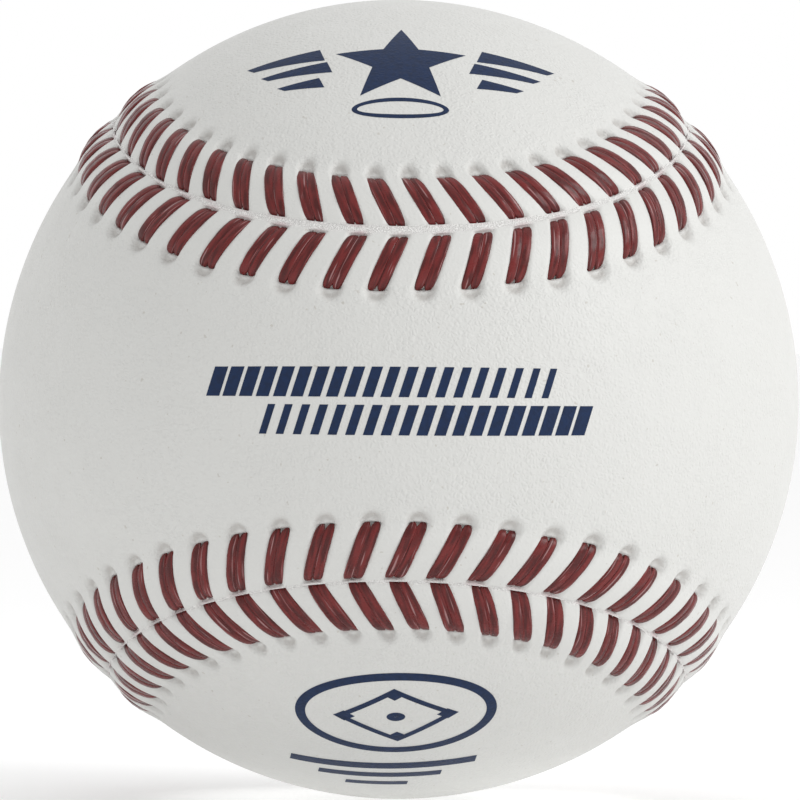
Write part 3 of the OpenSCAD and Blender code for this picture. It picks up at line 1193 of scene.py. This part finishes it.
class BALL_OT_inner_layers(bpy.types.Operator):
    """Gives the pill and the windings their cork, rubber and yarn finishes"""

    bl_idname = "ball.inner_layers"
    bl_label = "Pill and windings"

    def execute(self, context):
        black = moulded_rubber("black_rubber", (0.012, 0.012, 0.012), (0.035, 0.034, 0.033))
        red = moulded_rubber("red_rubber", (0.27, 0.02, 0.015), (0.42, 0.045, 0.03))
        grey = wound_yarn("grey_wool", (0.12, 0.125, 0.14), (0.42, 0.43, 0.45), 1.2 * MM)
        white = wound_yarn("white_wool", (0.45, 0.42, 0.35), (0.86, 0.83, 0.75), 1.0 * MM)
        fine = wound_yarn("finishing_yarn", (0.5, 0.47, 0.4), (0.9, 0.88, 0.8), 0.4 * MM)
        finishes = [cork_composition(), black, black, red, red, grey, white, grey, fine]
        for node, finish in zip(CORE_LAYERS, finishes):
            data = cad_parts[node].data
            data.materials.clear()
            data.materials.append(finish)
        return {"FINISHED"}


# --- The studio -----------------------------------------------------------------------------


# How much of the picture's width the ball fills, and how far aside the camera stands from it.
BALL_FILL = 0.9987
CAMERA_ASIDE = Vector((0.1 * MM, 0, 0))


def add_softbox(name, place, size, power):
    """A square soft light that faces the ball."""
    data = bpy.data.lights.new(name, "AREA")
    data.shape = "SQUARE"
    data.size = size
    data.energy = power
    lamp = bpy.data.objects.new(name, data)
    bpy.context.scene.collection.objects.link(lamp)
    lamp.location = place
    lamp.rotation_euler = (-place).to_track_quat("-Z", "Y").to_euler()


class BALL_OT_studio(bpy.types.Operator):
    """Sets up the pale floor, the soft lights and the camera"""

    bl_idname = "ball.studio"
    bl_label = "Studio"

    def execute(self, context):
        scene = context.scene
        studio = scene.ball_studio
        radius = scene.ball_cover.ball_radius
        self.add_floor(studio, radius)
        self.add_lights(scene, studio, radius)
        self.add_camera(scene, studio, radius)
        scene.view_settings.view_transform = "Standard"
        return {"FINISHED"}

    def add_floor(self, studio, radius):
        reach = 120 * radius
        corners = [(x * reach, y * reach, -radius) for x, y in ((-1, -1), (1, -1), (1, 1), (-1, 1))]
        mesh = bpy.data.meshes.new("studio_floor")
        mesh.from_pydata(corners, [], [(0, 1, 2, 3)])
        mesh.materials.append(studio_floor(studio))
        floor = bpy.data.objects.new("studio_floor", mesh)
        bpy.context.scene.collection.objects.link(floor)

    def add_lights(self, scene, studio, radius):
        scene.world = bpy.data.worlds.new("studio_room")
        room = Wiring(scene.world)
        place = room.add("TexCoord", {}).outputs["Generated"]
        depth = room.add("SeparateXYZ", {0: place}).outputs["Y"]
        light = {"From Min": -1, "To Min": studio.front_light, "To Max": studio.back_light}
        soft = room.add("MapRange", {"Value": depth, **light}).outputs["Result"]
        seen = room.add("LightPath", {}).outputs["Is Camera Ray"]
        strength = room.add("MapRange", {"Value": seen, "To Min": soft, "To Max": 1.0})
        sky = {"Color": (1, 1, 1, 1), "Strength": strength.outputs["Result"]}
        room.plug(room.nodes["Background"], sky)
        toward = Vector((0.8, -0.33, 0.5)).normalized() * 18 * radius
        add_softbox("key_right", toward, 10 * radius, studio.key_light)

    def add_camera(self, scene, studio, radius):
        data = bpy.data.cameras.new("camera")
        distance = studio.camera_distance
        data.sensor_width = 36
        data.lens = BALL_FILL * data.sensor_width / 2 * math.sqrt(distance * distance - 1)
        data.clip_start, data.clip_end = 0.01, 20
        camera = bpy.data.objects.new("camera", data)
        scene.collection.objects.link(camera)
        side, rise = studio.camera_side, studio.camera_rise
        toward = Vector((
            math.sin(side) * math.cos(rise), -math.cos(side) * math.cos(rise), math.sin(rise)
        ))
        turn = (-toward).to_track_quat("-Z", "Y").to_matrix()
        turn = turn @ Matrix.Rotation(studio.camera_roll, 3, "Z")
        place = toward * distance * radius + CAMERA_ASIDE
        camera.matrix_world = Matrix.Translation(place) @ turn.to_4x4()
        scene.camera = camera


# --- The panel and the list of classes ------------------------------------------------------


class BALL_PT_maker(bpy.types.Panel):
    """Lists the ball's pieces and their sizes"""

    bl_label = "Baseball"
    bl_idname = "BALL_PT_maker"
    bl_space_type = "VIEW_3D"
    bl_region_type = "UI"
    bl_category = "Baseball"

    def draw(self, context):
        scene = context.scene
        for operator in OPERATORS:
            self.layout.operator(operator.bl_idname)
        for group in (scene.ball_cover, scene.ball_stitches, scene.ball_colours, scene.ball_studio):
            box = self.layout.box()
            for name in group.__annotations__:
                box.prop(group, name)


OPERATORS = [
    BALL_OT_inner_layers,
    BALL_OT_cover_panels,
    BALL_OT_stitches,
    BALL_OT_thread_fluff,
    BALL_OT_printed_marks,
    BALL_OT_studio,
]
GROUPS = {
    "ball_cover": CoverSizes,
    "ball_stitches": StitchSizes,
    "ball_colours": FinishColours,
    "ball_studio": StudioSettings,
}


def register():
    for cls in [*GROUPS.values(), *OPERATORS, BALL_PT_maker]:
        bpy.utils.register_class(cls)
    for name, group in GROUPS.items():
        setattr(bpy.types.Scene, name, PointerProperty(type=group))


def unregister():
    for name in GROUPS:
        delattr(bpy.types.Scene, name)
    for cls in reversed([*GROUPS.values(), *OPERATORS, BALL_PT_maker]):
        bpy.utils.unregister_class(cls)


def main():
    register()
    bpy.ops.ball.inner_layers()
    bpy.ops.ball.cover_panels()
    bpy.ops.ball.stitches()
    bpy.ops.ball.thread_fluff()
    bpy.ops.ball.printed_marks()
    bpy.ops.ball.studio()


if __name__ == "__main__":
    main()
